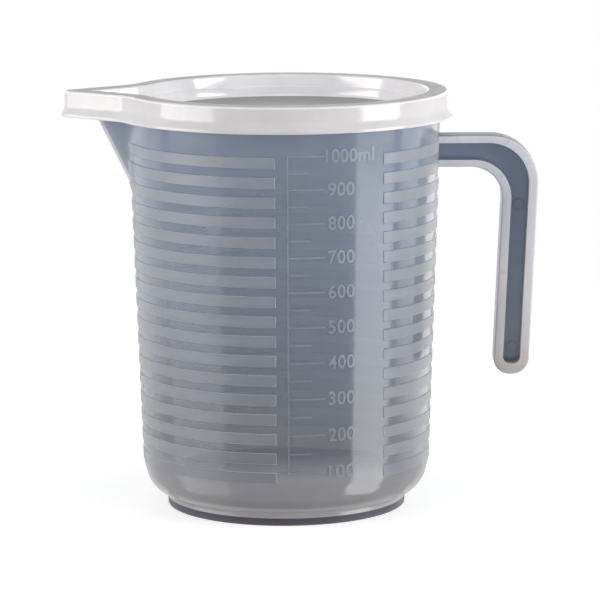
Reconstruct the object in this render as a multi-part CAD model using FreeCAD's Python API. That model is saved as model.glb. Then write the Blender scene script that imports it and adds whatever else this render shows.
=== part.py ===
"""Plastic measuring jug with a press-on lid: one-litre moulded jug, hook handle, pouring beak.

Frame: origin at the centre of the foot's underside, on the axis of the bowl. +Z is up,
+X points to the handle, -X to the beak, and the measuring scale faces -Y. Millimetres.
"""
import FreeCAD
import Part
import math
import os

Vector = FreeCAD.Vector

# ---- jug: bowl, floor and foot
rim_height = 145.4          # table to the top of the rim
body_top_radius = 54.7      # outside, at the rim
body_base_radius = 49.8     # outside, where the wall's line meets the table
wall = 1.5
corner_radius = 11.5        # outside round between wall and floor
floor_lift = 3.4            # table to the underside of the floor
floor_thickness = 2.0
foot_inset = 7.8            # wall's line at the table in to the foot's outside
foot_width = 2.4
foot_edge_round = 0.5

# ---- raised bands round the wall, left off the plain panel that carries the scale
band_count = 17
band_pitch = 6.81
band_height = 3.9
band_relief = 0.3
top_band_drop = 17.8        # rim down to the middle of the top band
panel_left = -3.4           # X of the panel's edges
panel_right = 33.6
root_clear = 1.0            # bare wall left round the handle's root

# ---- measuring scale, raised on the panel
scale_top_ml = 1000
scale_step_ml = 100
scale_relief = 0.2
mark_thickness = 0.55
stem_x = 0.9                # X of the upright line
long_mark = 12.6            # length of a mark at each step
short_mark = 7.9            # length of a mark at each half step

# ---- rim collar that the lid snaps over, and its outline round the beak
collar_reach = 1.2          # how far it stands out from the wall
collar_height = 4.4
collar_sink = 0.3           # how far the beak stops short of the collar's outline
beak_reach = 19.45          # collar's round out to its nose
beak_half_angle = 37.5      # degrees, at the rim
nose_radius = 2.45
sharp_nose = 1.0            # smallest nose radius of an outline drawn further in
beak_blend = 19.5           # hollow round where the collar turns into the beak

# ---- beak below the rim
ridge_lean = 26.1           # degrees from upright
ridge_radius = 1.2
beak_low_half_angle = 53.0  # degrees, below the lip
lip_drop = 7.9              # rim down to where the lip starts to flare
lip_reach = 10.06           # from there out to the collar's nose
ridge_sink = 2.3            # how far inside the bowl the ridge's buried end lies
beak_depth = 4.7            # from there in to the beak's back

# ---- hook handle, an I-beam open at the foot of its leg
handle_width = 12.0         # across, in Y
handle_drop = 14.65         # rim down to the top of the bar
bar_height = 10.95
bar_flange = 2.5
handle_stand = 34.8         # wall's line at the rim out to the leg's outer face, at the bar's top
leg_width = 12.4
leg_flange = 3.2
leg_lean = 2.7              # degrees, foot of the leg towards the bowl
leg_foot_height = 46.2
leg_foot_flange = 3.8
hook_outer_round = 17.3
hook_inner_round = 11.5
leg_end_round = 5.6
web_thickness = 2.4
handle_edge_round = 0.7
root_round = 1.2            # where the handle meets the wall
ejector_radius = 1.8
ejector_depth = 0.2
ejector_heights = (105.9, 55.2)

# ---- lid
lid_clearance = 0.25        # skirt to collar
skirt_wall = 1.3
lid_height = 8.95           # bottom of the skirt to the top of the rim
lid_plate = 1.4             # the lid's flat rim, seated on the jug's rim
flange_reach = 2.2
flange_thickness = 1.0
flange_slope = 2.4          # height over which the flange runs back into the skirt
rim_width = 8.0             # flat rim of the lid, outer edge to recess
ledge_width = 0.8           # step half way down the recess
ledge_depth = 4.2
recess_depth = 7.65
lid_wall = 1.3
snap_reach = 0.45           # bead inside the skirt, caught under the collar
snap_height = 1.2
snap_gap = 0.4              # bead to the underside of the collar
lid_edge_round = 0.5
ledge_round = 0.35
recess_floor_round = 1.0

# ---- places that follow from the sizes above
collar_radius = body_top_radius + collar_reach
beak_tip = collar_radius + beak_reach
foot_radius = body_base_radius - foot_inset
top_band_height = rim_height - top_band_drop
lip_height = rim_height - lip_drop
taper = (body_top_radius - body_base_radius) / rim_height
handle_top = rim_height - handle_drop
handle_reach = body_top_radius + handle_stand
floor_top = floor_lift + floor_thickness
lid_top = rim_height + lid_plate
lid_bottom = lid_top - lid_height
skirt_offset = lid_clearance + skirt_wall
recess_offset = skirt_offset - rim_width
recess_circle = collar_radius + recess_offset - ledge_width
sunk = wall / 3             # how deep what is raised on the wall is rooted in it
finest_nose = ridge_radius / 3
over = 5.0                  # how far a cutting tool runs past what it cuts
close = 1e-4                # two places nearer than this are one
slack = 0.1                 # how far past its bounds an edge is still looked for


def outer_radius(z):
    """Outside of the bowl's wall at a height."""
    return body_base_radius + taper * z


def inner_radius(z):
    """Inside of the bowl's wall at a height."""
    return outer_radius(z) - wall


def fill_height(millilitres):
    """Height of the surface of a filling, with the wall taken as a plain cone to the floor."""
    cubed = inner_radius(floor_top) ** 3 + 3.0 * taper * millilitres * 1000.0 / math.pi
    return (cubed ** (1.0 / 3.0) - inner_radius(0.0)) / taper


def revolve(points):
    """Solid of revolution about Z from a closed list of (radius, height) corners."""
    corners = [Vector(r, 0, z) for r, z in points]
    face = Part.Face(Part.makePolygon(corners + corners[:1]))
    return face.revolve(Vector(0, 0, 0), Vector(0, 0, 1), 360)


def box_between(low, high):
    """Box from its lowest to its highest corner."""
    size = [b - a for a, b in zip(low, high)]
    return Part.makeBox(size[0], size[1], size[2], Vector(*low))


def level_edges(shape, z, limit=math.inf):
    """Edges of a shape that lie wholly at one height, within a distance of the axis."""
    found = []
    for edge in shape.Edges:
        box = edge.BoundBox
        level = abs(box.ZMin - z) < close and abs(box.ZMax - z) < close
        reach = max(math.hypot(v.Point.x, v.Point.y) for v in edge.Vertexes)
        if level and reach < limit:
            found.append(edge)
    return found


# ---------------------------------------------------------------- outline shared by rim and lid

def rim_outline(offset, z):
    """Collar's outline, a circle drawn out to the beak's nose, moved outwards by an offset."""
    angle = math.radians(beak_half_angle)
    along = Vector(math.cos(angle), math.sin(angle), 0)
    out = Vector(-math.sin(angle), math.cos(angle), 0)
    lift = Vector(0, 0, z)
    radius = collar_radius + offset
    apex = beak_tip + nose_radius * (1 / math.sin(angle) - 1) + offset / math.sin(angle)
    nose = max(nose_radius + offset, sharp_nose)
    blend = beak_blend - offset
    side = apex * math.sin(angle)
    centre = out * (side + blend) - along * math.sqrt((radius + blend) ** 2 - (side + blend) ** 2)
    on_circle = centre * (radius / (radius + blend))
    on_side = centre - out * blend
    toward_corner = out * side - along * math.sqrt(radius ** 2 - side ** 2)
    middle = (toward_corner - centre).normalize()
    on_blend = centre + middle * blend
    nose_centre = Vector(-apex + nose / math.sin(angle), 0, 0)
    on_nose = nose_centre + out * nose
    tip = nose_centre - Vector(nose, 0, 0)
    far = Vector(radius, 0, 0)

    def mirrored(point):
        return Vector(point.x, -point.y, point.z)

    def arc(a, b, c):
        return Part.Arc(a + lift, b + lift, c + lift).toShape()

    edges = [
        arc(mirrored(on_circle), far, on_circle),
        arc(on_circle, on_blend, on_side),
        Part.LineSegment(on_side + lift, on_nose + lift).toShape(),
        arc(on_nose, tip, mirrored(on_nose)),
        Part.LineSegment(mirrored(on_nose) + lift, mirrored(on_side) + lift).toShape(),
        arc(mirrored(on_side), mirrored(on_blend), mirrored(on_circle)),
    ]
    return Part.Wire(edges)


def rim_prism(offset, low, high):
    """Upright solid on the collar's outline."""
    return Part.Face(rim_outline(offset, low)).extrude(Vector(0, 0, high - low))


# ---------------------------------------------------------------- jug

def bowl_outside():
    """Plain outside of the bowl, down to the underside of its floor."""
    blank = revolve([
        (0, floor_lift),
        (outer_radius(floor_lift), floor_lift),
        (body_top_radius, rim_height),
        (0, rim_height),
    ])
    return blank.makeFillet(corner_radius, level_edges(blank, floor_lift))


def bowl_inside():
    """Space that the bowl holds, running out past the rim."""
    blank = revolve([
        (0, floor_top),
        (inner_radius(floor_top), floor_top),
        (inner_radius(rim_height + over), rim_height + over),
        (0, rim_height + over),
    ])
    return blank.makeFillet(corner_radius - wall, level_edges(blank, floor_top))


def foot():
    """Ring that the jug stands on, run up through the floor."""
    top = floor_top + wall
    ring = revolve([
        (foot_radius - foot_width, 0),
        (foot_radius, 0),
        (foot_radius, top),
        (foot_radius - foot_width, top),
    ])
    return ring.makeFillet(foot_edge_round, level_edges(ring, 0))


def bands():
    """Raised bands, each cut away over the plain panel and round the handle's root."""
    panel = box_between(
        (panel_left, -2 * body_top_radius, 0),
        (panel_right, 0, rim_height),
    )
    margin = root_round + root_clear
    root = box_between(
        (0, -handle_width / 2 - margin, handle_top - bar_height - margin),
        (2 * body_top_radius, handle_width / 2 + margin, handle_top + margin),
    )
    bare = panel.fuse(root)
    rings = []
    for count in range(band_count):
        middle = top_band_height - count * band_pitch
        low = middle - band_height / 2
        high = middle + band_height / 2
        ring = revolve([
            (outer_radius(low) - sunk, low),
            (outer_radius(low) + band_relief, low),
            (outer_radius(high) + band_relief, high),
            (outer_radius(high) - sunk, high),
        ])
        rings.append(ring.cut(bare))
    return rings


def scale_marks():
    """Upright line with a mark at each step and a shorter one half way between."""
    half = mark_thickness / 2
    steps = int(scale_top_ml / scale_step_ml)
    back = -inner_radius(0) / 2
    front = -2 * body_top_radius

    def bar(x_low, x_high, z_low, z_high):
        return box_between((x_low, front, z_low), (x_high, back, z_high))

    bottom = fill_height(scale_step_ml) - half
    top = fill_height(scale_top_ml) + half
    flat = bar(stem_x - half, stem_x + half, bottom, top)
    for step in range(1, steps + 1):
        z = fill_height(step * scale_step_ml)
        flat = flat.fuse(bar(stem_x, stem_x + long_mark, z - half, z + half))
        if step > 1:
            z = fill_height((step - 0.5) * scale_step_ml)
            flat = flat.fuse(bar(stem_x, stem_x + short_mark, z - half, z + half))
    skin = revolve([
        (outer_radius(0) - sunk, 0),
        (outer_radius(0) + scale_relief, 0),
        (outer_radius(rim_height) + scale_relief, rim_height),
        (outer_radius(rim_height) - sunk, rim_height),
    ])
    return flat.removeSplitter().common(skin)


def beak_section(apex, half_angle, nose, back, z):
    """V-shaped section of the beak, with a rounded ridge and its back inside the wall."""
    angle = math.radians(half_angle)
    centre = -apex + nose / math.sin(angle)
    turn = Vector(-math.sin(angle), math.cos(angle), 0) * nose
    ridge = Vector(centre, 0, z) + turn
    other = Vector(ridge.x, -ridge.y, z)
    corner = Vector(-back, (apex - back) * math.tan(angle), z)
    far = Vector(-back, -corner.y, z)
    return Part.Wire([
        Part.LineSegment(corner, ridge).toShape(),
        Part.Arc(ridge, Vector(centre - nose, 0, z), other).toShape(),
        Part.LineSegment(other, far).toShape(),
        Part.LineSegment(far, corner).toShape(),
    ])


def beak(inset):
    """Beak as a closed solid, drawn in by an inset on every side."""
    angle = math.radians(beak_low_half_angle)
    rim_angle = math.radians(beak_half_angle)
    nose = max(ridge_radius - inset, finest_nose)
    lean = math.tan(math.radians(ridge_lean))
    start = (inner_radius(0) - ridge_sink - beak_tip + lip_reach + lip_height * lean) / (lean - taper)
    back = inner_radius(start) - ridge_sink - beak_depth

    def apex_at(z):
        ridge = beak_tip - lip_reach - (lip_height - z) * lean
        return ridge + ridge_radius * (1 / math.sin(angle) - 1) - inset / math.sin(angle)

    rim_inset = collar_sink + inset
    rim_nose = max(nose_radius - rim_inset, finest_nose)
    rim_apex = beak_tip + nose_radius * (1 / math.sin(rim_angle) - 1) - rim_inset / math.sin(rim_angle)
    low = Part.makeLoft([
        beak_section(apex_at(start), beak_low_half_angle, nose, back, start),
        beak_section(apex_at(lip_height), beak_low_half_angle, nose, back, lip_height),
    ], True, True)
    high = Part.makeLoft([
        beak_section(apex_at(lip_height), beak_low_half_angle, nose, back, lip_height),
        beak_section(rim_apex, beak_half_angle, rim_nose, back, rim_height),
    ], True, True)
    return low.fuse(high)


def collar():
    """Band round the rim that the lid snaps over, turned down round the beak's lip."""
    low = rim_height - collar_height
    solid = rim_prism(0, low, rim_height)
    return solid.cut(rim_prism(-collar_reach - sunk, low - over, rim_height + over))


def hook(inset_bar, inset_leg, inset_foot, y_low, y_high):
    """Upright slab of the handle's side view, drawn in from its outline by three insets."""
    lean = math.tan(math.radians(leg_lean))
    slant = math.cos(math.radians(leg_lean))
    start = outer_radius(handle_top - bar_height) - wall / 2
    top = handle_top - inset_bar
    under = handle_top - bar_height + inset_bar
    end = leg_foot_height + inset_foot

    def outer_face(z):
        return handle_reach - (handle_top - z) * lean - inset_leg / slant

    def inner_face(z):
        return outer_face(z) - (leg_width - 2 * inset_leg) / slant

    outline = [
        (start, top, 0),
        (outer_face(top), top, hook_outer_round - inset_bar),
        (outer_face(end), end, leg_end_round - inset_leg),
        (inner_face(end), end, leg_end_round - inset_leg),
        (inner_face(under), under, hook_inner_round + inset_bar),
        (start, under, 0),
    ]
    corners = [Vector(x, y_low, z) for x, z, _ in outline]
    slab = Part.Face(Part.makePolygon(corners + corners[:1])).extrude(Vector(0, y_high - y_low, 0))
    for x, z, radius in outline:
        if radius > 0:
            slab = slab.makeFillet(radius, [cross_edge(slab, x, z)])
    return slab


def cross_edge(shape, x, z):
    """The edge that runs across the handle at one corner of its side view."""
    for edge in shape.Edges:
        box = edge.BoundBox
        near = abs(box.XMin - x) < close and abs(box.XMax - x) < close
        if near and abs(box.ZMin - z) < close and abs(box.ZMax - z) < close:
            return edge
    raise ValueError("no edge across the handle at this corner")


def handle():
    """Hook handle: a slab with a pocket in each side, which leaves flanges and a thin web."""
    half = handle_width / 2
    slab = hook(0, 0, 0, -half, half)
    start = slab.BoundBox.XMin
    rims = []
    for edge in slab.Edges:
        box = edge.BoundBox
        on_side = abs(box.YMax - box.YMin) < close
        at_wall = abs(box.XMax - start) < close
        if on_side and not at_wall:
            rims.append(edge)
    slab = slab.makeFillet(handle_edge_round, rims)
    front = hook(bar_flange, leg_flange, leg_foot_flange, -half - over, -web_thickness / 2)
    back = hook(bar_flange, leg_flange, leg_foot_flange, web_thickness / 2, half + over)
    slab = slab.cut(front).cut(back)
    lean = math.tan(math.radians(leg_lean))
    for z in ejector_heights:
        x = handle_reach - (handle_top - z) * lean - leg_width / 2
        face = Vector(x, -web_thickness / 2 + ejector_depth, z)
        slab = slab.cut(Part.makeCylinder(ejector_radius, over, face, Vector(0, -1, 0)))
    return slab


def root_edges(shape):
    """Edges along which the handle meets the outside of the wall."""
    found = []
    half = handle_width / 2 + slack
    low = handle_top - bar_height
    for edge in shape.Edges:
        box = edge.BoundBox
        across = box.YMin > -half and box.YMax < half
        upright = box.ZMin > low - slack and box.ZMax < handle_top + slack
        at_wall = box.XMin > inner_radius(low) and box.XMax < outer_radius(handle_top) + slack
        if across and upright and at_wall:
            found.append(edge)
    return found


def jug():
    """The jug, one moulding: bowl, foot, bands, scale, beak, collar and handle."""
    solid = bowl_outside().fuse(handle())
    solid = solid.makeFillet(root_round, root_edges(solid))
    solid = solid.fuse(beak(0))
    solid = solid.fuse(collar())
    solid = solid.fuse(foot())
    solid = solid.multiFuse(bands() + [scale_marks()])
    solid = solid.cut(bowl_inside().fuse(beak(wall)))
    return solid.removeSplitter()


# ---------------------------------------------------------------- lid

def flange():
    """Lip round the foot of the skirt, thin at its edge and sloped back into the skirt."""
    reach = skirt_offset + flange_reach
    shoulder = lid_bottom + flange_thickness
    edge = rim_prism(reach, lid_bottom, shoulder)
    slope = Part.makeLoft([
        rim_outline(reach, shoulder),
        rim_outline(skirt_offset, shoulder + flange_slope),
    ], True, True)
    return edge.fuse(slope)


def lid():
    """Snap-on lid: skirt, flat rim and a stepped recess that reaches into the mouth."""
    ledge = lid_top - ledge_depth
    recess_floor = lid_top - recess_depth
    shell = rim_prism(skirt_offset, lid_bottom, lid_top).fuse(flange())
    shell = shell.cut(rim_prism(lid_clearance, lid_bottom - over, rim_height))
    bead_top = rim_height - collar_height - snap_gap
    bead = rim_prism(skirt_offset - skirt_wall / 2, bead_top - snap_height, bead_top)
    bead = bead.cut(rim_prism(lid_clearance - snap_reach, lid_bottom, lid_top))
    shell = shell.fuse(bead)
    plug = rim_prism(recess_offset + lid_wall, ledge - lid_wall, rim_height + lid_plate / 2)
    cup_height = ledge - recess_floor + lid_wall
    cup = Part.makeCylinder(recess_circle + lid_wall, cup_height, Vector(0, 0, recess_floor - lid_wall))
    shell = shell.fuse(plug).fuse(cup)
    shell = shell.cut(rim_prism(recess_offset, ledge, lid_top + over))
    well = Part.makeCylinder(recess_circle, recess_depth, Vector(0, 0, recess_floor))
    well = well.makeFillet(recess_floor_round, level_edges(well, recess_floor))
    shell = shell.cut(well).removeSplitter()
    shell = shell.makeFillet(lid_edge_round, level_edges(shell, lid_top))
    return shell.makeFillet(ledge_round, level_edges(shell, ledge, recess_circle + slack))


def write(name, shape):
    """Write one solid to its STEP file."""
    shape.Solids[0].exportStep("parts/" + name + ".step")
    print(name, "solids", len(shape.Solids), "valid", shape.isValid(), "volume", round(shape.Volume))


os.makedirs("parts", exist_ok=True)
write("jug", jug())
write("lid", lid())
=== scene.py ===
"""Plastic measuring jug with a press-on lid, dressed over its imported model.

Metres, +Z up, origin under the middle of the foot. +X points to the handle, -X to the beak,
and the measuring scale faces -Y. Shapes are drawn in millimetres and scaled down when done.
"""
import math

import bmesh
import bpy
from mathutils import Matrix, Vector


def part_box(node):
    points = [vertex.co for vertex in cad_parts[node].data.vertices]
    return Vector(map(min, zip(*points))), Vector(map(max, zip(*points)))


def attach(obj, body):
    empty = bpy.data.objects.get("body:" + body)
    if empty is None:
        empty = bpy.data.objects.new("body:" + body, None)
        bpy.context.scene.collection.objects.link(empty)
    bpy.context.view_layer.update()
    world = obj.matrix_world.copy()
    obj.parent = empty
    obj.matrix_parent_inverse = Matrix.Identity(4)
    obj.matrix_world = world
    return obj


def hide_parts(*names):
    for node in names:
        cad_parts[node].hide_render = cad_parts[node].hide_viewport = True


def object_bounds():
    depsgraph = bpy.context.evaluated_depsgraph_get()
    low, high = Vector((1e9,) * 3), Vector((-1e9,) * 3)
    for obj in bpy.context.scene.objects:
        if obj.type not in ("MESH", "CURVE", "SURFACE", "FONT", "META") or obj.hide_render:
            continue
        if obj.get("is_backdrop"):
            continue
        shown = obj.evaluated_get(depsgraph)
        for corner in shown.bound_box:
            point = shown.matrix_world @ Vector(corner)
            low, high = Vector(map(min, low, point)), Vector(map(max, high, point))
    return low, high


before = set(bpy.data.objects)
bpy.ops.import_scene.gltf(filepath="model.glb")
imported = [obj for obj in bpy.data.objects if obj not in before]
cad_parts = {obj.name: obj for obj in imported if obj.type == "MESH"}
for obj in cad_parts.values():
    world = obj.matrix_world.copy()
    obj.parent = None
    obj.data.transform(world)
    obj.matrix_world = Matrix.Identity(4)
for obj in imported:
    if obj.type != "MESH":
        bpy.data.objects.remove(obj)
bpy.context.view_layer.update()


# ---- Bowl -------------------------------------------------------------------------------
# The jug's body, thin natural polypropylene, injection moulded in one shot with its beak,
# collar and foot. It is turned as a plain cup, and then its wall is drawn out to the beak.

def drawn_box(node):
    """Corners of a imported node's box in millimetres, to the hundredth as they were drawn."""
    return [[round(side * 1000, 2) for side in corner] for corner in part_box(node)]


rim_height = drawn_box("jug")[1][2]
body_top_radius = 54.7
body_base_radius = 49.8
wall = 1.5
corner_round = 11.5
floor_under = 3.4
floor_top = 5.4
foot_inner, foot_outer = 39.6, 42.0
foot_highlight_strip = 1.3                           # the foot's upper strip, painted pale as a highlight on its top edge
collar_radius = 55.9
collar_low = 141.0
top_band, band_pitch, band_count = 127.6, 6.81, 17
band_heights = [top_band - band_pitch * i for i in range(band_count)]
band_half = 1.95
band_relief = 0.3
banded_low, banded_high = 14, 133         # Z that the bands lie between
band_soft, foot_soft, collar_soft = 0.12, 0.5, 0.35
panel_left, panel_right = -3.4, 33.6      # X of the bare panel that carries the scale
root_half = 8.2                           # Y of the bare wall beside the handle's root
root_low = 117.6
end_slope = 0.12                          # how far a band's end takes to sink into the wall

beak_tip = 75.35
rim_half_angle = math.radians(37.5)
nose_round = 2.45
beak_hollow = 19.5                        # round where the collar turns into the beak
beak_inside = 0.3                         # how far the beak's side stays inside the collar's
sharpest_rim, sharpest_ridge = 1.0, 0.4   # least nose rounds of the inner outlines
lip_height = 137.5
lip_half_angle = math.radians(53.0)
ridge_at_lip = 65.65
ridge_lean = math.tan(math.radians(26.1))
ridge_round = 1.6
beak_start = 105.4
beak_back = 44.85
crease = 1.6                              # softness of the line between wall and beak

weld = 1e-4                               # points closer than this are one point
run_out = 0.01                            # ledges lower than this have run out into the wall
# Rows of points on the plain wall, close together where the beak bends it.
beak_rows = (132.0, 134.5, 137.5, 139.5)
inside_rows = (143, 141, 139, 137.5, 134, 130, 126, 122, 118, 114, 110, 107, 104, 90, 70, 50, 30)


def outside(z):
    """Radius of the bowl's outside at a height."""
    return body_base_radius + (body_top_radius - body_base_radius) * z / rim_height


def clamped(value):
    """A value held between nothing and one."""
    return min(max(value, 0.0), 1.0)


def nose_reach(centre, nose, angle):
    """Axis to the far side of a nose's round, at an angle from the beak."""
    return centre * math.cos(angle) + math.sqrt(nose ** 2 - (centre * math.sin(angle)) ** 2)


def rim_reach(offset, angle):
    """Axis to the rim's outline, moved out by an offset, at an angle from the beak."""
    radius = collar_radius + offset
    sine, cosine = math.sin(rim_half_angle), math.cos(rim_half_angle)
    apex = beak_tip + nose_round * (1 / sine - 1) + offset / sine
    nose = max(nose_round + offset, sharpest_rim)
    hollow = beak_hollow - offset
    side = apex * sine
    back = math.sqrt((radius + hollow) ** 2 - (side + hollow) ** 2)
    across = (side + hollow) * cosine - back * sine
    along = (side + hollow) * sine + back * cosine
    nose_centre = apex - nose / sine
    if angle < math.atan2(nose * cosine, nose_centre + nose * sine):
        return nose_reach(nose_centre, nose, angle)
    if angle < math.atan2(across - hollow * cosine, along - hollow * sine):
        return side / math.sin(rim_half_angle + angle)
    if angle < math.atan2(across, along):
        near = along * math.cos(angle) + across * math.sin(angle)
        aside = along * math.sin(angle) - across * math.cos(angle)
        return near - math.sqrt(hollow ** 2 - aside ** 2)
    return radius


def beak_reach(z, inset, angle):
    """Axis to the beak's side below the rim, moved in by an inset, at an angle from the beak."""
    share = clamped((z - lip_height) / (rim_height - lip_height))
    half = lip_half_angle + (rim_half_angle - lip_half_angle) * share
    nose = ridge_round + (nose_round - beak_inside - ridge_round) * share - inset
    nose = max(nose, sharpest_ridge)
    ridge = ridge_at_lip + (min(z, lip_height) - lip_height) * ridge_lean
    tip = ridge + (beak_tip - beak_inside - ridge_at_lip) * share - inset
    apex = tip + nose * (1 / math.sin(half) - 1)
    centre = apex - nose / math.sin(half)
    if angle < math.atan2(nose * math.cos(half), centre + nose * math.sin(half)):
        return nose_reach(centre, nose, angle)
    side = apex * math.sin(half) / math.sin(half + angle)
    return side if side * math.cos(angle) > beak_back else 0.0


def blended(a, b, width):
    """The larger of two reaches, with the corner between them rounded off."""
    near = max(width - abs(a - b), 0.0) / width
    return max(a, b) + near * near * width / 4


def bowl_reach(radius, z, angle):
    """Where a point of the turned cup goes when the beak is drawn out."""
    on_collar = z > collar_low - 0.2 and radius > outside(z) + 0.6
    on_floor = radius < outside(z) - wall - 0.4
    if on_collar:
        return rim_reach(radius - collar_radius, angle)
    if z < beak_start or on_floor:
        return radius
    inset = wall if radius < outside(z) - wall / 2 else 0.0
    return blended(radius, beak_reach(z, inset, angle), crease)


def turned(profile, rounds, steps=220):
    """Closed mesh turned about Z. Each round is a size, its segments and the corners it takes."""
    bm = bmesh.new()
    corners = [bm.verts.new((radius, 0, z)) for radius, z in profile]
    for first, second in zip(corners, corners[1:]):
        bm.edges.new((first, second))
    for size, segments, picked in rounds:
        bmesh.ops.bevel(
            bm, geom=[corners[i] for i in picked], offset=size, offset_type="OFFSET",
            segments=segments, profile=0.5, affect="VERTICES", material=-1)
    bmesh.ops.spin(
        bm, geom=bm.verts[:] + bm.edges[:], cent=(0, 0, 0), axis=(0, 0, 1),
        angle=math.tau, steps=steps, use_merge=True, use_duplicate=False)
    bmesh.ops.remove_doubles(bm, verts=bm.verts[:], dist=weld)
    bmesh.ops.recalc_face_normals(bm, faces=bm.faces[:])
    return bm


def drawn_out(bm, reach, gather=0.8):
    """Gathers the columns of a turned mesh towards the beak, and draws each point out."""
    for vert in bm.verts:
        x, y, z = vert.co
        radius = math.hypot(x, y)
        if radius > 0.01:
            angle = math.atan2(y, -x)
            angle -= gather * math.sin(angle)
            radius = reach(radius, z, abs(angle))
            vert.co = (-radius * math.cos(angle), radius * math.sin(angle), z)


def corner_arc(centre, low, radius, turns):
    """Points of the bowl's rounded corner, at turns from straight down."""
    return [(centre + radius * math.sin(t), low + radius * (1 - math.cos(t))) for t in turns]


arc_centre = outside(floor_under) - corner_round
foot_in = foot_outer - arc_centre
foot_meets = floor_under + corner_round - math.sqrt(corner_round ** 2 - foot_in ** 2)
cup = [(0, floor_under), (foot_inner, floor_under), (foot_inner, 0), (foot_outer, 0)]
cup += [(foot_outer, foot_meets - foot_highlight_strip), (foot_outer, foot_meets)]
arc_steps = 12
first_turn = math.asin(foot_in / corner_round)
cup += corner_arc(arc_centre, floor_under, corner_round, [
    first_turn + (math.pi / 2 - first_turn) * i / arc_steps for i in range(1, arc_steps + 1)])
cup[-1] = (outside(cup[-1][1]), cup[-1][1])
band_corners = []
band_outline = ((-1, 0), (-1, band_relief), (1, band_relief), (1, 0))
for middle in reversed(band_heights):
    for side, relief in band_outline:
        z = middle + side * band_half
        if z > floor_under + corner_round:
            band_corners.append(len(cup))
            cup.append((outside(z) + relief, z))
cup += [(outside(z), z) for z in beak_rows]
collar_at = len(cup)
cup += [(outside(collar_low), collar_low), (collar_radius, collar_low)]
cup += [(collar_radius, rim_height), (outside(rim_height) - wall, rim_height)]
cup += [(outside(z) - wall, z) for z in inside_rows]
inner_centre = outside(floor_top) - corner_round
cup += corner_arc(inner_centre, floor_top, corner_round - wall, [
    math.pi / 2 * (1 - i / arc_steps) for i in range(arc_steps + 1)])
cup += [(20, floor_top), (0, floor_top)]

bowl = turned(cup, [
    (band_soft, 1, band_corners),
    (foot_soft, 3, [2, 3]),
    (collar_soft, 2, [collar_at + 1, collar_at + 2, collar_at + 3]),
])
drawn_out(bowl, bowl_reach)


def level_with_wall(bm, places, inside):
    """Cuts the bands along upright planes, and takes their relief away where inside says."""
    def in_bands(point):
        depth = math.hypot(point.x, point.y) - outside(point.z)
        near_wall = -band_relief < depth < 2 * band_relief
        return near_wall and banded_low < point.z < banded_high

    faces = [f for f in bm.faces if in_bands(f.calc_center_median())]
    for place, normal in places:
        edges = list(dict.fromkeys(e for f in faces for e in f.edges))
        verts = list(dict.fromkeys(v for e in edges for v in e.verts))
        cut = bmesh.ops.bisect_plane(
            bm, geom=verts + edges + faces, dist=weld, plane_co=place, plane_no=normal)
        faces = [g for g in cut["geom"] if isinstance(g, bmesh.types.BMFace)]
    for vert in bm.verts:
        if in_bands(vert.co) and inside(vert.co):
            vert.co.xy *= outside(vert.co.z) / math.hypot(vert.co.x, vert.co.y)


slopes = (-end_slope, end_slope)
past = end_slope / 2
level_with_wall(
    bowl, [((x + slope, 0, 0), (1, 0, 0)) for x in (panel_left, panel_right) for slope in slopes],
    lambda p: p.y < 0 and panel_left - past < p.x < panel_right + past)
level_with_wall(
    bowl, [((0, y + slope, 0), (0, 1, 0)) for y in (-root_half, root_half) for slope in slopes],
    lambda p: p.x > 0 and abs(p.y) < root_half + past and p.z > root_low)
bmesh.ops.remove_doubles(bowl, verts=bowl.verts[:], dist=run_out)
bmesh.ops.dissolve_degenerate(bowl, edges=bowl.edges[:], dist=weld)
bmesh.ops.recalc_face_normals(bowl, faces=bowl.faces[:])


# ---- Handle -----------------------------------------------------------------------------
# A hook moulded on with the bowl, open at the foot of its leg. It is an I-beam: a thin web
# with a flange all round. It is drawn flat, thickened across, and joined to the wall.

handle_half = 6.0
web_half = 1.2
handle_top = 130.75
bar_under = 119.8
leg_foot = 46.2
handle_reach = 89.45
leg_width = 12.4
leg_lean = math.tan(math.radians(2.7))
bar_flange, leg_flange, foot_flange = 2.5, 3.2, 3.8
hook_outer, hook_inner, leg_end = 17.3, 11.5, 5.6
root_start, pocket_start = 53.0, 53.3     # X inside the wall, where bar and pocket begin
handle_edge = 0.7
ejector_heights = (105.9, 55.2)


def hook_outline(bm, start, bar, leg, foot, y):
    """One flat outline of the hook, drawn in by three insets, with its corners rounded."""
    top, under, end = handle_top - bar, bar_under + bar, leg_foot + foot

    def outer(z):
        return handle_reach - (handle_top - z) * leg_lean - leg

    def inner(z):
        return outer(z) - leg_width + 2 * leg

    places = [
        (start, top), (outer(top), top), (outer(end), end),
        (inner(end), end), (inner(under), under), (start, under),
    ]
    verts = [bm.verts.new((x, y, z)) for x, z in places]
    for i in range(6):
        bm.edges.new((verts[i], verts[(i + 1) % 6]))
    rounds = [(1, hook_outer - bar), (2, leg_end - leg), (3, leg_end - leg), (4, hook_inner + bar)]
    before = set(bm.verts)
    for i, radius in rounds:
        bmesh.ops.bevel(
            bm, geom=[verts[i]], offset=radius, offset_type="OFFSET",
            segments=14, profile=0.5, affect="VERTICES", material=-1)
    made = [v for v in bm.verts if v not in before] + [v for v in verts if v.is_valid]
    return [e for e in bm.edges if all(v in made for v in e.verts)]


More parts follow.
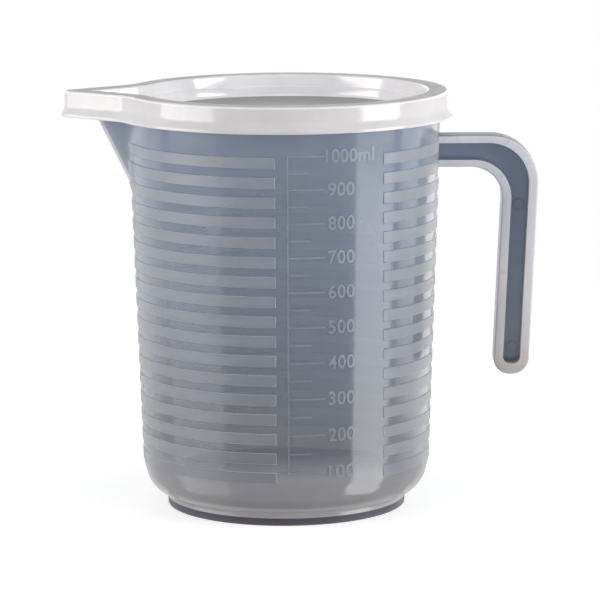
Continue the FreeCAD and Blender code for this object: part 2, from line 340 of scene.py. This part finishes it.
handle = bmesh.new()
pocket_insets = (bar_flange, leg_flange, foot_flange)
outline = hook_outline(handle, root_start, 0, 0, 0, -handle_half)
pocket = hook_outline(handle, pocket_start, *pocket_insets, -handle_half)
far_outline = hook_outline(handle, root_start, 0, 0, 0, handle_half)
far_pocket = hook_outline(handle, pocket_start, *pocket_insets, handle_half)
web_near = hook_outline(handle, pocket_start, *pocket_insets, -web_half)
web_far = hook_outline(handle, pocket_start, *pocket_insets, web_half)
for one, other in ((outline, far_outline), (outline, pocket), (far_outline, far_pocket),
                   (pocket, web_near), (far_pocket, web_far)):
    bmesh.ops.bridge_loops(handle, edges=one + other)
for web in (web_near, web_far):
    bmesh.ops.contextual_create(handle, geom=web)
bmesh.ops.remove_doubles(handle, verts=handle.verts[:], dist=weld)
bmesh.ops.recalc_face_normals(handle, faces=handle.faces[:])
bmesh.ops.bevel(
    handle, geom=[e for e in outline + far_outline if e.is_valid], offset=handle_edge,
    offset_type="OFFSET", segments=3, profile=0.5, affect="EDGES", material=-1)


def shaded(mesh, sharp=32):
    """Smooth shading, broken at edges that turn by more than so many degrees."""
    mesh.shade_smooth()
    mesh.set_sharp_from_angle(angle=math.radians(sharp))


def in_metres(bm, name):
    """Object in metres from a mesh drawn in millimetres."""
    mesh = bpy.data.meshes.new(name)
    bm.to_mesh(mesh)
    bm.free()
    mesh.transform(Matrix.Scale(0.001, 4))
    shaded(mesh)
    made = bpy.data.objects.new(name, mesh)
    bpy.context.scene.collection.objects.link(made)
    return made


def finished_mesh(thing):
    """Mesh of an object with its modifiers applied, or of a line of text."""
    bpy.context.view_layer.update()
    return bpy.data.meshes.new_from_object(thing.evaluated_get(bpy.context.evaluated_depsgraph_get()))


hook = in_metres(handle, "hook")
jug = in_metres(bowl, "jug_body")
join = jug.modifiers.new("join", "BOOLEAN")
join.operation = "UNION"
join.solver = "MANIFOLD"
join.object = hook
one_shot = finished_mesh(jug)
jug.modifiers.clear()
jug.data = one_shot
bpy.data.objects.remove(hook)
shaded(jug.data, sharp=26)


# ---- Natural polypropylene --------------------------------------------------------------
# The jug's plastic holds no pigment: thin walls are smoky and see-through, the bands are
# frosted by the mould's texture, and thick flanges scatter more light and look milky.

def speckle(nodes, links, place, scale, detail, roughness=0.5):
    """Even noise through the plastic, from nothing to one."""
    noise = nodes.new("ShaderNodeTexNoise")
    noise.inputs["Scale"].default_value = scale
    noise.inputs["Detail"].default_value = detail
    noise.inputs["Roughness"].default_value = roughness
    links.new(place.outputs["Object"], noise.inputs["Vector"])
    return noise.outputs["Fac"]


def between(nodes, links, value, low, high):
    """A value from nothing to one, mapped between two ends."""
    ends = nodes.new("ShaderNodeMapRange")
    ends.inputs["To Min"].default_value = low
    ends.inputs["To Max"].default_value = high
    links.new(value, ends.inputs["Value"])
    return ends.outputs["Result"]


def natural_plastic(name, tones, solid, rough, grain, grain_size, bloom=0.0, shine=0.8, haze_and_light_tone=None):
    """Material of the jug's plastic. Its tones go up by height, with clouds and a fine skin."""
    made = bpy.data.materials.new(name)
    made.use_nodes = True
    nodes, links = made.node_tree.nodes, made.node_tree.links
    shader = nodes["Principled BSDF"]
    shader.inputs["Alpha"].default_value = solid
    shader.inputs["IOR"].default_value = 1.49
    shader.inputs["Specular IOR Level"].default_value = shine
    shader.inputs["Sheen Weight"].default_value = bloom
    shader.inputs["Sheen Roughness"].default_value = 0.5
    place = nodes.new("ShaderNodeTexCoord")

    tallest = 150
    parts = nodes.new("ShaderNodeSeparateXYZ")
    height = nodes.new("ShaderNodeMapRange")
    height.inputs["From Max"].default_value = tallest / 1000
    ramp = nodes.new("ShaderNodeValToRGB")
    while len(ramp.color_ramp.elements) < len(tones):
        ramp.color_ramp.elements.new(0.5)
    for stop, (z, colour) in zip(ramp.color_ramp.elements, tones):
        stop.position = z / tallest
    for stop, (z, colour) in zip(ramp.color_ramp.elements, tones):
        stop.color = (*colour, 1)
    links.new(place.outputs["Object"], parts.inputs[0])
    links.new(parts.outputs["Z"], height.inputs["Value"])
    links.new(height.outputs["Result"], ramp.inputs["Fac"])
    colour = ramp.outputs["Color"]
    # Paler where the attribute says: painted highlight on the beak's ridge and painted reflection of the
    # handle by its root.
    if haze_and_light_tone:
        thickness = nodes.new("ShaderNodeAttribute")
        thickness.attribute_name = "thickness"
        paler = nodes.new("ShaderNodeMixRGB")
        paler.inputs["Color2"].default_value = (*haze_and_light_tone, 1)
        links.new(thickness.outputs["Fac"], paler.inputs["Fac"])
        links.new(colour, paler.inputs["Color1"])
        colour = paler.outputs["Color"]

    clouds = speckle(nodes, links, place, scale=45, detail=4, roughness=0.6)
    tint = nodes.new("ShaderNodeVectorMath")
    tint.operation = "SCALE"
    links.new(colour, tint.inputs[0])
    links.new(between(nodes, links, clouds, 0.78, 1.22), tint.inputs["Scale"])
    links.new(tint.outputs["Vector"], shader.inputs["Base Color"])

    wear = speckle(nodes, links, place, scale=160, detail=6)
    links.new(between(nodes, links, wear, rough - 0.04, rough + 0.05), shader.inputs["Roughness"])

    relief = nodes.new("ShaderNodeBump")
    relief.inputs["Strength"].default_value = grain
    relief.inputs["Distance"].default_value = 0.0002
    links.new(speckle(nodes, links, place, scale=grain_size, detail=3), relief.inputs["Height"])
    links.new(relief.outputs["Normal"], shader.inputs["Normal"])
    return made


# Tones by height, with painted light low down: the pale stop at the foot's top edge is a painted
# highlight, the dark stop just above it is painted shade, and the paler stops on the lower corner are
# light bounced off the table, painted on. Higher up the wall is darker towards the bottom and bluer at
# the top.
clear_tones_and_painted_light = [
    (3.9, (0.56, 0.54, 0.55)), (4.7, (0.17, 0.17, 0.18)), (11, (0.22, 0.215, 0.235)),
    (18, (0.24, 0.245, 0.275)), (27, (0.055, 0.070, 0.108)), (138, (0.148, 0.212, 0.335))]
frosted_tones = [(18, (0.125, 0.140, 0.178)), (135, (0.25, 0.29, 0.36))]
milky_tones = [(48, (0.61, 0.565, 0.545)), (70, (0.73, 0.72, 0.74)), (130, (0.79, 0.80, 0.86))]
wall_haze_and_light_tone = (0.74, 0.73, 0.75)            # where the attribute paints the wall paler: highlight on the ridge, reflection by the root, creases
clear_wall = natural_plastic(
    "clear_polypropylene", clear_tones_and_painted_light, solid=0.66, rough=0.12, grain=0.01, grain_size=300,
    bloom=0.6, haze_and_light_tone=wall_haze_and_light_tone)
inside_wall = natural_plastic(
    "inside_polypropylene", clear_tones_and_painted_light, solid=0.25, rough=0.15, grain=0.01, grain_size=300,
    bloom=0.3)
frosted = natural_plastic(
    "frosted_polypropylene", frosted_tones, solid=0.7, rough=0.32, grain=0.2, grain_size=2600,
    bloom=1.4, haze_and_light_tone=wall_haze_and_light_tone)
milky = natural_plastic(
    "milky_polypropylene", milky_tones, solid=0.94, rough=0.28, grain=0.05, grain_size=900,
    bloom=0.1)
deep = natural_plastic(
    "deep_polypropylene", [(50, (0.225, 0.27, 0.35)), (130, (0.195, 0.26, 0.41))],
    solid=0.88, rough=0.2, grain=0.02, grain_size=900)
# The foot's side is painted in shade: a dark copy of the plastic.
shaded_foot = natural_plastic(
    "shaded_foot_polypropylene", [(0.6, (0.12, 0.11, 0.13)), (1.8, (0.09, 0.082, 0.11))],
    solid=0.9, rough=0.5, grain=0.03, grain_size=900, shine=0.2)
# Copy of the plastic toned for how light falls on faces that look out or aside: painted shade on the
# handle's back and top, painted light on the bands' edge faces.
side_shade_and_light = natural_plastic(
    "side_shade_and_light_polypropylene", [(48, (0.46, 0.45, 0.46)), (130, (0.33, 0.34, 0.36))],
    solid=0.94, rough=0.5, grain=0.04, grain_size=900, shine=0.1)
floor_plastic = natural_plastic(
    "floor_polypropylene", [(5, (0.74, 0.73, 0.76)), (9, (0.66, 0.66, 0.69))],
    solid=0.8, rough=0.3, grain=0.01, grain_size=300)

handle_from = 56.5                        # X past which everything is handle
floor_corner = 3.7                        # how far the floor's paler plastic climbs the corner


def finish_of(face):
    """Finish of one of the jug's faces, by where it lies and which way it looks."""
    x, y, z = face.center * 1000
    normal = face.normal
    radius = math.hypot(x, y)
    depth = radius - outside(z)
    facing = normal.x * x + normal.y * y
    inside = depth < -1
    if x > handle_from and z > leg_foot - 1:
        if abs(normal.y) > 0.9 and abs(abs(y) - web_half) < 0.1:
            return deep
        # Faces that look back or up take the painted shade.
        looks_out = abs(normal.y) < 0.4 and (normal.x > 0.35 or normal.z > 0.35)
        return side_shade_and_light if looks_out else milky
    # Below the painted highlight strip, the foot's side takes the painted shade.
    if z < foot_meets - foot_highlight_strip + 0.1:
        return shaded_foot
    if inside and normal.z > -0.05 and floor_top - 0.1 < z < floor_top + floor_corner:
        return floor_plastic
    if inside and (facing < 0 or normal.z > 0.5):
        return inside_wall
    if z > collar_low - 0.1 and depth > 0.4:
        return milky
    if 0.06 < depth < 0.4 and any(abs(z - middle) < band_half + 0.05 for middle in band_heights):
        # Band edge faces take the painted light.
        on_edge = facing < 0.8 * radius and normal.x < 0.3
        return side_shade_and_light if on_edge else frosted
    return clear_wall


finishes = [clear_wall, frosted, milky, deep, shaded_foot, inside_wall, side_shade_and_light, floor_plastic]
jug.data.materials.clear()
for plastic in finishes:
    jug.data.materials.append(plastic)
for face in jug.data.polygons:
    face.material_index = finishes.index(finish_of(face))

# The wall is painted paler in the beak's creases and a little over the beak. Along the beak's ridge the
# paling is a painted highlight, and by the handle's root it is a painted reflection of the bright
# handle.
ridge_highlight, crease_haze, beak_haze, root_reflection = 0.9, 0.3, 0.06, 0.3
ridge_half, ridge_fade, crease_spread = 2.9, 1.2, 2.2
root_spread, root_fade = 0.62, 0.3        # angles from the handle, in radians
root_reflection_low, root_reflection_rise = 70, 40


def haze_and_light_at(x, y, z):
    """How pale the outer wall is painted at a point, from nothing to one: painted highlight on the
    beak's ridge, painted reflection of the handle by its root, paler creases.
    """
    if math.hypot(x, y) < outside(z) - 0.3:
        return 0.0
    if beak_start - 3 < z < collar_low + 1 and x < -beak_back:
        proud = beak_reach(z, 0.0, math.atan2(abs(y), -x)) - outside(z)
        in_crease = crease_haze * max(1 - abs(proud) / crease_spread, 0.0)
        on_ridge = ridge_highlight * clamped((ridge_half - abs(y)) / ridge_fade)
        return max(on_ridge, in_crease, beak_haze) if proud > 0 else in_crease
    if x > 0:
        near_root = clamped((root_spread - abs(math.atan2(y, x))) / root_fade)
        return root_reflection * near_root * clamped((z - root_reflection_low) / root_reflection_rise)
    return 0.0


# The attribute named thickness holds painted light: a highlight on the beak's ridge and the handle's
# reflection by its root, with paler creases.
thickness = jug.data.attributes.new("thickness", "FLOAT", "POINT")
for vert in jug.data.vertices:
    thickness.data[vert.index].value = haze_and_light_at(*(vert.co * 1000))
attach(jug, "root")
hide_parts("jug")


# ---- Ejector marks ----------------------------------------------------------------------
# Two shallow dished discs on the web of the leg, left where pins push the part off the mould.

pin_radius, pin_edge = 2.2, 0.15
dish_radius, dish_rim = 1.15, 1.45
pin_rise, dish_rise, pin_buried = 0.2, 0.02, 0.1
pin_outline = [
    (0, dish_rise), (dish_radius, dish_rise), (dish_rim, pin_rise), (pin_radius - pin_edge, pin_rise),
    (pin_radius, -pin_buried), (0, -pin_buried)]
upright = Matrix.Rotation(math.radians(90), 4, "X")

pins = bmesh.new()
for z in ejector_heights:
    disc = turned(pin_outline, [], steps=48)
    middle = handle_reach - (handle_top - z) * leg_lean - leg_width / 2
    bmesh.ops.transform(disc, matrix=upright, verts=disc.verts[:])
    bmesh.ops.translate(disc, vec=(middle, -web_half, z), verts=disc.verts[:])
    flat = bpy.data.meshes.new("disc")
    disc.to_mesh(flat)
    disc.free()
    pins.from_mesh(flat)
    bpy.data.meshes.remove(flat)
ejector_marks = in_metres(pins, "ejector_marks")
ejector_marks.data.materials.append(natural_plastic(
    "pin_polypropylene", [(50, (0.27, 0.30, 0.35)), (130, (0.22, 0.28, 0.38))],
    solid=0.86, rough=0.25, grain=0.02, grain_size=900))
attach(ejector_marks, "root")


# ---- Measuring scale --------------------------------------------------------------------
# An upright line with a long mark each 100 ml, a short one half way, and numbers beside
# them, cut into the mould so that they stand a fifth of a millimetre off the bare panel.

mark_half = 0.275
stem_x = 0.9
long_mark, short_mark = 12.6, 7.9
number_x, top_number_x = 14.6, 13.8
number_width, top_number_width = 8.9, 16.4
number_height = 4.7
letter_space, letter_swell = 1.06, 0.07
scale_squeeze = 0.985                     # the moulded steps are a little closer than fillings
raised, buried = 0.2, 0.15                # how far the scale stands off the wall and runs into it
number_tones = [(15, (0.33, 0.355, 0.40)), (135, (0.43, 0.48, 0.56))]
mark_tones = [(15, (0.28, 0.30, 0.35)), (135, (0.38, 0.43, 0.52))]


def fill_height(millilitres):
    """Height that a filling reaches."""
    taper = (body_top_radius - body_base_radius) / rim_height
    cubed = (outside(floor_top) - wall) ** 3 + 3 * taper * millilitres * 1000 / math.pi
    return (cubed ** (1 / 3) - body_base_radius + wall) / taper


def mark_height(millilitres):
    """Height of a mark of the moulded scale."""
    full = fill_height(1000)
    return full - (full - fill_height(millilitres)) * scale_squeeze


def on_panel(bm):
    """Wraps flat work, drawn in X and Z with its thickness in -Y, round the panel."""
    for vert in bm.verts:
        x, y, z = vert.co
        vert.co.y = y - math.sqrt(outside(z) ** 2 - x ** 2)


# The stem and its marks are the outline of one comb, with a tooth each 50 ml.
marks = bmesh.new()
stem_left, stem_right = stem_x - mark_half, stem_x + mark_half
comb = [(stem_left, mark_height(1000) + mark_half), (stem_left, mark_height(100) - mark_half)]
for step in range(2, 21):
    z, reach = mark_height(step * 50), stem_x + (short_mark if step % 2 else long_mark)
    tooth = [(stem_right, z - mark_half), (reach, z - mark_half),
             (reach, z + mark_half), (stem_right, z + mark_half)]
    comb += tooth[1:] if step == 2 else tooth[:3] if step == 20 else tooth
sheet = marks.faces.new([marks.verts.new((x, -raised, z)) for x, z in comb])
thicker = bmesh.ops.extrude_face_region(marks, geom=[sheet])["geom"]
far_side = [v for v in thicker if isinstance(v, bmesh.types.BMVert)]
bmesh.ops.translate(marks, vec=(0, raised + buried, 0), verts=far_side)
for x in range(2, 14):                    # cut each millimetre, to bend round the panel
    bmesh.ops.bisect_plane(
        marks, geom=marks.verts[:] + marks.edges[:] + marks.faces[:], dist=weld / 10,
        plane_co=(x, 0, 0), plane_no=(1, 0, 0))
bmesh.ops.recalc_face_normals(marks, faces=marks.faces[:])
on_panel(marks)
scale_marks = in_metres(marks, "scale_marks")

numbers = bmesh.new()
for step in range(1, 11):
    words = bpy.data.curves.new("number", "FONT")
    words.body = str(step * 100) + ("ml" if step == 10 else "")
    words.size = number_height / 0.73     # figures are 0.73 of the letter size
    words.align_y = "CENTER"
    words.space_character = letter_space
    words.offset = letter_swell
    words.extrude = (raised + buried) / 2
    words.resolution_u = 6
    holder = bpy.data.objects.new("number", words)
    bpy.context.scene.collection.objects.link(holder)
    flat = finished_mesh(holder)
    bpy.data.objects.remove(holder)
    low = min(v.co.y for v in flat.vertices)
    high = max(v.co.y for v in flat.vertices)
    start = min(v.co.x for v in flat.vertices)
    width = max(v.co.x for v in flat.vertices) - start
    wanted = top_number_width if step == 10 else number_width
    left = top_number_x if step == 10 else number_x
    flat.transform(Matrix.Translation((-start, -(low + high) / 2, 0)))
    flat.transform(Matrix.Diagonal((wanted / width, number_height / (high - low), 1, 1)))
    flat.transform(upright)
    flat.transform(Matrix.Translation((left, (buried - raised) / 2, mark_height(step * 100))))
    numbers.from_mesh(flat)
bmesh.ops.remove_doubles(numbers, verts=numbers.verts[:], dist=weld / 10)
bmesh.ops.recalc_face_normals(numbers, faces=numbers.faces[:])
on_panel(numbers)
scale_numbers = in_metres(numbers, "scale_numbers")

scale_numbers.data.materials.append(natural_plastic(
    "number_polypropylene", number_tones, solid=0.6, rough=0.35, grain=0.1, grain_size=1200))
scale_marks.data.materials.append(natural_plastic(
    "mark_polypropylene", mark_tones, solid=0.6, rough=0.35, grain=0.1, grain_size=1200))
for piece in (scale_marks, scale_numbers):
    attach(piece, "root")


# ---- Lid --------------------------------------------------------------------------------
# A press-on cover of white polyethylene: skirt with a lip at its foot, flat rim, and a
# stepped recess. It is turned like the bowl, and drawn out over the beak in the same way.

lid_foot, lid_top = [corner[2] for corner in drawn_box("lid")]
skirt = collar_radius + 1.55
lip = collar_radius + 3.72
flare_top, flare_low = 141.25, 138.85
recess = collar_radius - 6.45
well = recess - 0.8
ledge, recess_floor = 142.6, 139.15
well_draft, recess_draft = 0.7, 0.6
lid_wall = 1.3
skirt_play = 0.25                         # between the skirt's inside and the collar
bead, bead_low, bead_full, bead_top = 0.2, 139.4, 139.7, 140.6
under_rim = 141.3
nose_trim, nose_trim_angle = 0.9, 0.12    # the lip is narrower round the beak's nose
skirt_inside = collar_radius + skirt_play
lid_profile = [
    (0, recess_floor), (30, recess_floor), (well - well_draft, recess_floor), (well, ledge),
    (recess - 0.1, ledge), (recess + recess_draft, lid_top),
    (skirt, lid_top), (skirt, flare_top), (lip, flare_low), (lip, lid_foot), (skirt_inside, lid_foot),
    (skirt_inside, bead_low), (collar_radius - bead, bead_full), (collar_radius - bead, bead_top),
    (skirt_inside, bead_top), (skirt_inside, rim_height), (recess + lid_wall, rim_height),
    (recess + lid_wall, under_rim), (well + lid_wall, under_rim), (well + lid_wall, lid_foot),
    (0, lid_foot),
]


def lid_reach(radius, z, angle):
    """Where a point of the turned lid goes when the beak is drawn out. The well stays round."""
    if radius > well + 1.6 or (radius > well + 0.5 and z > ledge - 0.1):
        lip_over = max(radius - skirt, 0.0) / (lip - skirt)
        trim = nose_trim * lip_over * max(1 - angle / nose_trim_angle, 0.0)
        return rim_reach(radius - collar_radius - trim, angle)
    return radius


cover = turned(lid_profile, [
    (1.0, 4, [2]), (0.3, 2, [3, 4]), (0.5, 3, [5]), (0.7, 3, [6]), (0.8, 3, [7]), (0.3, 2, [8, 9]),
])
drawn_out(cover, lid_reach)
lid = in_metres(cover, "lid_cover")


def white_plastic(name, tone, rough, shine, solid=0.97):
    """White polyethylene: soft sheen, faint clouds, fine scuffs."""
    return natural_plastic(
        name, [(137, tone), (147, tone)], solid, rough, grain=0.03, grain_size=500, shine=shine)


white = white_plastic("white_polyethylene", (0.765, 0.745, 0.755), rough=0.12, shine=0.6)
# Recess floor: thin and see-through, and painted darker as shade.
thin_shaded_floor = white_plastic("thin_shaded_polyethylene", (0.47, 0.46, 0.485), rough=0.4, shine=0.3, solid=0.66)
# Recess walls: a near-white copy, painted light standing in for light through the lid.
lit_recess_wall = white_plastic("lit_recess_polyethylene", (0.97, 0.955, 0.97), rough=0.11, shine=1.0)
# Rim top: rough, and painted darker as shade where little light falls from above.
matt_shaded_rim = white_plastic("matt_shaded_polyethylene", (0.56, 0.545, 0.555), rough=0.6, shine=0.1)
# Rounded top edges: a cream copy, a painted highlight.
rounded = white_plastic("edge_highlight_polyethylene", (0.97, 0.94, 0.90), rough=0.3, shine=0.6)


def lid_finish_of(face):
    """Finish of one of the lid's faces: painted shade on the recess floor, painted light on the recess
    walls, painted shade on the rough rim top, and a painted highlight on the rounded edges.
    """
    x, y, z = face.center * 1000
    radius = math.hypot(x, y)
    recess_edge = rim_reach(recess - collar_radius + 1, math.atan2(abs(y), -x))
    if radius < well - 0.9 and z < recess_floor + 0.1:
        return thin_shaded_floor
    if radius < recess_edge and recess_floor < z < lid_top - 0.2 and face.normal.z > -0.2:
        return lit_recess_wall
    if z > lid_top - 0.02 and face.normal.z > 0.99:
        return matt_shaded_rim
    if z > lid_top - 0.6 and face.normal.z > 0.1:
        return rounded
    return white


finishes = [white, thin_shaded_floor, lit_recess_wall, matt_shaded_rim, rounded]
for plastic in finishes:
    lid.data.materials.append(plastic)
for face in lid.data.polygons:
    face.material_index = finishes.index(lid_finish_of(face))
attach(lid, "root")
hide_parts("lid")


# ---- Table and room ---------------------------------------------------------------------
# A plain pale table that fades to white away from the jug, in a plain room. Rays that look
# straight on, in gloss or through plastic see white; a dimmer room and table light the jug.

scene = bpy.context.scene
scene.view_settings.view_transform = "Standard"


def seen_ray(nodes, links):
    """One for rays that look straight on, in gloss or through plastic, nothing for others."""
    path = nodes.new("ShaderNodeLightPath")
    seen = path.outputs["Is Camera Ray"]
    for ray in ("Is Glossy Ray", "Is Transmission Ray"):
        either = nodes.new("ShaderNodeMath")
        either.operation = "MAXIMUM"
        links.new(seen, either.inputs[0])
        links.new(path.outputs[ray], either.inputs[1])
        seen = either.outputs[0]
    return seen


def glowing(nodes, strength):
    """White glow of a strength."""
    glow = nodes.new("ShaderNodeEmission")
    glow.inputs["Strength"].default_value = strength
    return glow.outputs[0]


def mixed(nodes, links, share, first, second):
    """Mix of two surfaces by a share."""
    mix = nodes.new("ShaderNodeMixShader")
    links.new(share, mix.inputs["Fac"])
    links.new(first, mix.inputs[1])
    links.new(second, mix.inputs[2])
    return mix.outputs[0]


table_tone, table_glow = 0.72, 0.62
fade_start, fade_end = 0.15, 0.6          # metres from the jug's axis
room_tone, room_strength = (0.9, 0.95, 1, 1), 0.30

ground = bmesh.new()
bmesh.ops.create_grid(ground, x_segments=1, y_segments=1, size=6000)
floor = in_metres(ground, "floor")
floor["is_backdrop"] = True
table = bpy.data.materials.new("pale_table")
table.use_nodes = True
nodes, links = table.node_tree.nodes, table.node_tree.links
matt_paint = nodes["Principled BSDF"]
matt_paint.inputs["Base Color"].default_value = (table_tone, table_tone, table_tone, 1)
matt_paint.inputs["Roughness"].default_value = 0.9
matt_paint.inputs["Specular IOR Level"].default_value = 0
seen = seen_ray(nodes, links)
both = nodes.new("ShaderNodeAddShader")
links.new(matt_paint.outputs[0], both.inputs[0])
links.new(mixed(nodes, links, seen, glowing(nodes, 0), glowing(nodes, table_glow)), both.inputs[1])
place = nodes.new("ShaderNodeTexCoord")
distance = nodes.new("ShaderNodeVectorMath")
distance.operation = "LENGTH"
fade = nodes.new("ShaderNodeMapRange")
fade.interpolation_type = "SMOOTHSTEP"
fade.inputs["From Min"].default_value = fade_start
fade.inputs["From Max"].default_value = fade_end
far_and_seen = nodes.new("ShaderNodeMath")
far_and_seen.operation = "MULTIPLY"
links.new(place.outputs["Object"], distance.inputs[0])
links.new(distance.outputs["Value"], fade.inputs["Value"])
links.new(fade.outputs["Result"], far_and_seen.inputs[0])
links.new(seen, far_and_seen.inputs[1])
surface = mixed(nodes, links, far_and_seen.outputs[0], both.outputs[0], glowing(nodes, 1))
links.new(surface, nodes["Material Output"].inputs["Surface"])
floor.data.materials.append(table)
floor.visible_glossy = False

world = bpy.data.worlds.new("studio")
scene.world = world
world.use_nodes = True
nodes, links = world.node_tree.nodes, world.node_tree.links
room = nodes["Background"]
room.inputs["Color"].default_value = room_tone
room.inputs["Strength"].default_value = room_strength
white_room = nodes.new("ShaderNodeBackground")
white_room.inputs["Color"].default_value = (1, 1, 1, 1)
white_room.inputs["Strength"].default_value = 1
surface = mixed(nodes, links, seen_ray(nodes, links), room.outputs[0], white_room.outputs[0])
links.new(surface, nodes["World Output"].inputs["Surface"])


# ---- Lamps and reflector cards ----------------------------------------------------------
# A tall soft lamp on each side, a weak one overhead and one behind. Upright cards, lower
# than the lamps, only show as stripes of gloss on the bowl's wall.

def beside(azimuth, distance, height):
    """Place round the jug, by its angle from the camera's side."""
    turn = math.radians(azimuth)
    return (distance * math.sin(turn), -distance * math.cos(turn), height)


def soft_light(name, place, aim, size, power, colour=(1, 1, 1)):
    """Soft lamp with a width and a height, aimed at a point."""
    data = bpy.data.lights.new(name, "AREA")
    data.shape = "RECTANGLE"
    data.size, data.size_y = size
    data.energy = power
    data.color = colour
    made = bpy.data.objects.new(name, data)
    made.location = place
    made.rotation_euler = (Vector(aim) - Vector(place)).to_track_quat("-Z", "Y").to_euler()
    scene.collection.objects.link(made)


def side_light(name, azimuth, height, size, power, colour):
    """Soft lamp a metre from the jug, that looks level at its axis."""
    soft_light(name, beside(azimuth, 1.0, height), beside(azimuth, 0.3, height), size, power, colour)


jug_middle = (0, 0, 0.1)
side_light("right_light", 69, 0.31, (0.56, 0.66), 7.8, (1, 0.98, 0.97))
side_light("left_light", -71, 0.33, (0.79, 0.7), 7.1, (1, 0.97, 0.95))
soft_light("overhead", (0, -0.15, 1.3), jug_middle, (0.3, 0.3), 1.5, (1, 0.97, 0.93))
soft_light("back_light", beside(180, 1.2, 0.28), jug_middle, (0.9, 0.5), 3)

card_distance = 1030


def reflector(name, azimuth, half_angle, low, high, strength):
    """Upright white card a metre away, which shows only as a reflection in the plastic."""
    card = bmesh.new()
    bmesh.ops.create_grid(card, x_segments=1, y_segments=1, size=500)
    width = 2 * math.tan(math.radians(half_angle))
    bmesh.ops.scale(card, vec=(width, high - low, 1), verts=card.verts[:])
    bmesh.ops.transform(card, matrix=upright, verts=card.verts[:])
    bmesh.ops.translate(card, vec=(0, -card_distance, (low + high) * 500), verts=card.verts[:])
    turn = Matrix.Rotation(math.radians(azimuth), 4, "Z")
    bmesh.ops.transform(card, matrix=turn, verts=card.verts[:])
    made = in_metres(card, name)
    made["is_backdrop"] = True
    shine = bpy.data.materials.new(name)
    shine.use_nodes = True
    nodes, links = shine.node_tree.nodes, shine.node_tree.links
    links.new(glowing(nodes, strength), nodes["Material Output"].inputs["Surface"])
    shine.cycles.emission_sampling = "NONE"
    made.data.materials.append(shine)
    made.visible_camera = False
    made.visible_diffuse = False
    made.visible_transmission = False
    made.visible_shadow = False


reflector("right_card", 70.5, half_angle=17.5, low=-0.9, high=-0.06, strength=5.2)
reflector("left_card", -75, half_angle=26, low=-0.9, high=-0.10, strength=2.3)
reflector("right_rim_card", 124, half_angle=30, low=-0.22, high=-0.003, strength=2.8)
reflector("left_rim_card", -126, half_angle=24, low=-0.2, high=-0.005, strength=1.8)


# ---- Camera -----------------------------------------------------------------------------
# It stands in front and a little above, and looks down on the lid by some nine degrees.

camera_data = bpy.data.cameras.new("camera")
camera_data.lens = 219.4
camera_data.sensor_width = 36
camera_data.clip_start, camera_data.clip_end = 0.1, 50
camera = bpy.data.objects.new("camera", camera_data)
camera_place = (0, -1.273, 0.2845)
right = Vector((1, -0.0048, -0.0046))
up = Vector((0.0053, 0.1646, 0.9864))
ahead = Vector((0.004, 0.9864, -0.1646))
turn = Matrix((right, up, -ahead)).transposed().to_4x4()
camera.matrix_world = Matrix.Translation(camera_place) @ turn
scene.collection.objects.link(camera)
scene.camera = camera


# ---- Size -------------------------------------------------------------------------------
# The box of the finished pieces is worked out, leaving out the table and the cards.

low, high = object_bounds()
